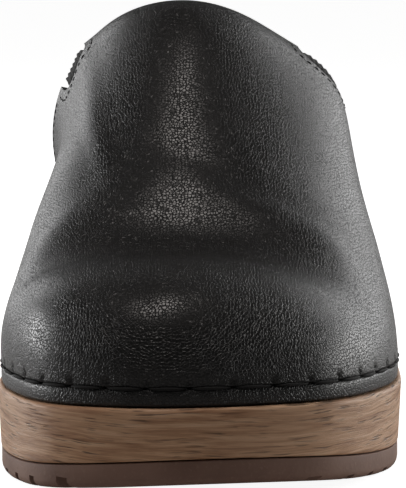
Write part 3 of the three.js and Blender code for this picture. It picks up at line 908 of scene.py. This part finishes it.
def pucker(u, v):
    """How deep the thread pulls the leather in round its holes."""
    away = np.abs(u[:, None] - hole_shares()).min(axis=1) * UPPER_LENGTH
    return PUCKER * bump(away, 0, 0.9) * bump(v * UPPER_MM_V, 1.3, 1.2)


def make_vamp():
    piece = leather_layer(
        "vamp_leather", lambda u, v: -pucker(u, v), VAMP, 0, 0, 0, radius=0.5, foot_radius=0.9)
    return finish_piece(piece, BLACK_LEATHER, "upper_leather", "vamp")


def make_lining():
    piece = leather_layer(
        "lining_leather", lambda u, v: -(VAMP + CLEARANCE) - lining_dip(u, v), LINING,
        edge_inset=0.4, grow_u=0.0135, grow_v=0.051, radius=0.3, foot_radius=0.3)
    return finish_piece(piece, LINING_LEATHER, "lining_leather", "vamp_lining")


def make_gore(side, name, node):
    """Ribbed elastic that fills a slot, tucked under the leather round it."""
    rows, cols = 40, 90
    depth, half = SLOT_DEPTH + 0.012, SLOT_HALF + 0.045
    along, across = (g.ravel() for g in np.meshgrid(
        np.linspace(0.004, 1, rows), np.linspace(-1, 1, cols), indexing="ij"))
    u = np.maximum(0.004, depth * along)
    v = SLOT_MIDDLE + across * half * np.sqrt(np.maximum(0, 1 - (u / depth) ** 4))
    deep = 1 - smooth(u / SLOT_DEPTH, 0.6, 0.97)
    high = 1 - smooth(np.abs(v - SLOT_MIDDLE) / SLOT_HALF, 0.6, 0.97)
    rib = 0.16 * np.sin((v - SLOT_MIDDLE) * UPPER_MM_V * 2 * math.pi / 1.5)
    lift = -(VAMP + CLEARANCE) + GORE_BULGE * deep * high - 0.16
    on_side = u if side < 0 else 1 - u
    outer = vamp_points(on_side, v, lift + rib)
    inner = vamp_points(on_side, v, lift - GORE + 0.32 + rib)
    count = rows * cols
    faces = grid_faces(rows, cols) + grid_faces(rows, cols, count, flip=True)
    rim = [
        *range(cols), *range(2 * cols - 1, count, cols), *range(count - 2, count - cols - 1, -1),
        *range(count - 2 * cols, 0, -cols)]
    faces += loop_faces(rim, [k + count for k in rim])
    piece = make_mesh(name, np.concatenate([outer, inner]), faces, weld=0.002)
    return finish_piece(piece, ELASTIC, "elastic", node)


def sewn_row(name, path):
    """A row of the small stitches that hold a gore or a lining."""
    return stitches(name, path, round(path[0] / SMALL_STITCH), gap=0.7, radius=0.24, rise=0.02, sink=0.3)


def make_threads():
    dense = np.linspace(0, 1, 400)
    margin = 2.6 / UPPER_LENGTH

    def side_of(u, side):
        return u if side < 0 else 1 - u

    for side, word in ((-1, "medial"), (1, "lateral")):
        angle = math.pi * mix(0.02, 0.98, dense)
        u = (SLOT_DEPTH + SLOT_STITCH_U) * np.sin(angle) ** 0.5
        cosine = np.cos(angle)
        v = SLOT_MIDDLE + (SLOT_HALF + SLOT_STITCH_V) * np.sign(cosine) * np.abs(cosine) ** 0.5
        row = sewn_row(f"{word}_gore_stitches", surface_path(side_of(u, side), v))
        finish_piece(row, THREAD, "thread", f"{word}_gore_thread")
        v = mix(0.04, SLOT_MIDDLE - SLOT_HALF - 0.05, dense)
        row = sewn_row(
            f"{word}_wing_stitches", surface_path(side_of(np.full_like(v, margin), side), v))
        finish_piece(row, THREAD, "thread", f"{word}_wing_thread")


def make_welt():
    share = np.linspace(WELT_MARGIN, 1 - WELT_MARGIN, 1600)
    t = mix(WING_END, -WING_END, share)
    xy = edge(t, np.full_like(t, RAND_INSET))
    z = wood_top(xy[:, 0], xy[:, 1]) + RAND_HEIGHT + 1.5 * CLEARANCE
    at = np.column_stack([xy, z])
    normal = np.column_stack([outward(t), np.zeros_like(t)])
    count = len(hole_shares()) - 1
    row = stitches(
        "welt_stitches", path_through(at, normal), count, gap=1.1, radius=0.42, rise=0.0, sink=0.75)
    finish_piece(row, THREAD, "thread", "welt_thread")


def dress_inner_nodes():
    """The hidden pieces keep their frame shape and get their own materials."""
    for node, material in (
        ("insole_board", FIBREBOARD), ("toe_puff", STIFFENER), ("topline_tape", TAPE_CLOTH)
    ):
        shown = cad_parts[node]
        if not shown.material_slots:
            shown.data.materials.append(material)
        for place in shown.material_slots:
            place.material = material


# ---- The studio ----

WORLD_LIGHT = 0.06
FLOOR_GAP = 0.0003
FLOOR_GLOW, FLOOR_BOUNCE = 0.92, 0.55  # what the camera sees of the floor, and what the clog gets
# name, place, aim and size in metres, power in watts, colour
SOFT_BOXES = (
    ("left_softbox", (-0.78, 0.42, 0.12), (0, -0.08, 0.03), (0.50, 0.30), 4.1, (1, 1, 1)),
    ("right_softbox", (0.80, 0.28, 0.15), (0, -0.08, 0.03), (0.70, 0.34), 3.5, (1, 0.99, 0.97)),
    ("left_back_softbox", (-0.42, 0.85, 0.22), (0, -0.02, 0.07), (0.30, 0.40), 0.95, (1, 1, 1)),
    ("right_back_softbox", (0.62, 0.80, 0.30), (0, -0.02, 0.07), (0.60, 0.45), 2.2, (1, 1, 1)),
    ("overhead_strip", (-0.11, -0.19, 0.95), (-0.04, -0.14, 0.08), (0.19, 0.56), 3.2, (1, 0.93, 0.89)),
)


def make_studio():
    """A pale floor that shows white but lights the clog softly, and soft boxes round it."""
    bpy.ops.mesh.primitive_plane_add(size=8, location=(0, 0, -FLOOR_GAP))
    floor = bpy.context.object
    floor.name = "studio_floor"
    n = Nodes("floor_white")
    speck = n.noise(n.place(), 40, 2)
    n.set(Base_Color=n.blend(speck, (0.80, 0.80, 0.80), (0.84, 0.84, 0.84)), Roughness=0.95,
          Specular_IOR_Level=0.0)
    glow = n.add("ShaderNodeEmission", values={"Strength": FLOOR_GLOW})
    lit = n.add("ShaderNodeAddShader")
    dim = n.add("ShaderNodeBsdfDiffuse", values={"Color": (*[FLOOR_BOUNCE] * 3, 1)})
    seen = n.add("ShaderNodeLightPath").outputs["Is Camera Ray"]
    both = n.add("ShaderNodeMixShader")
    n.tree.links.new(n.shader.outputs[0], lit.inputs[0])
    n.tree.links.new(glow.outputs[0], lit.inputs[1])
    n.tree.links.new(seen, both.inputs[0])
    n.tree.links.new(dim.outputs[0], both.inputs[1])
    n.tree.links.new(lit.outputs[0], both.inputs[2])
    n.tree.links.new(both.outputs[0], n.tree.nodes["Material Output"].inputs["Surface"])
    floor.data.materials.append(n.material)

    world = bpy.data.worlds.new("studio")
    bpy.context.scene.world = world
    world.use_nodes = True
    tree = world.node_tree
    back = tree.nodes["Background"]
    back.inputs["Color"].default_value = (1, 1, 1, 1)
    path = tree.nodes.new("ShaderNodeLightPath")
    level = tree.nodes.new("ShaderNodeMapRange")
    level.inputs["To Min"].default_value = WORLD_LIGHT
    level.inputs["To Max"].default_value = 1.0
    tree.links.new(path.outputs["Is Camera Ray"], level.inputs["Value"])
    tree.links.new(level.outputs["Result"], back.inputs["Strength"])
    bpy.context.scene.view_settings.view_transform = "Standard"

    for name, place, aim, size, power, colour in SOFT_BOXES:
        data = bpy.data.lights.new(name, "AREA")
        data.shape = "RECTANGLE"
        data.size, data.size_y = size
        data.energy = power
        data.color = colour
        made = bpy.data.objects.new(name, data)
        bpy.context.scene.collection.objects.link(made)
        made.location = place
        made.rotation_euler = (Vector(aim) - Vector(place)).to_track_quat("-Z", "Y").to_euler()


def make_camera():
    """Toe-on and just above the level, from about 1.2 m."""
    azimuth, elevation, distance = math.radians(1.0), math.radians(6.1), 1.22
    target = Vector((0.0004, -0.060, 0.0551))
    ahead = Vector((
        math.sin(azimuth) * math.cos(elevation), math.cos(azimuth) * math.cos(elevation),
        -math.sin(elevation)))
    data = bpy.data.cameras.new("camera")
    data.sensor_fit = "HORIZONTAL"
    data.sensor_width = 36
    data.lens = 434.75
    camera = bpy.data.objects.new("camera", data)
    bpy.context.scene.collection.objects.link(camera)
    camera.location = target - ahead * distance
    camera.rotation_euler = ahead.to_track_quat("-Z", "Y").to_euler()
    bpy.context.scene.camera = camera


make_camera()
make_studio()
make_sole()
make_footbed()
make_rand()
make_vamp()
make_lining()
make_gore(-1, "medial_gore_ribbed", "medial_gore")
make_gore(1, "lateral_gore_ribbed", "lateral_gore")
make_welt()
make_threads()
dress_inner_nodes()
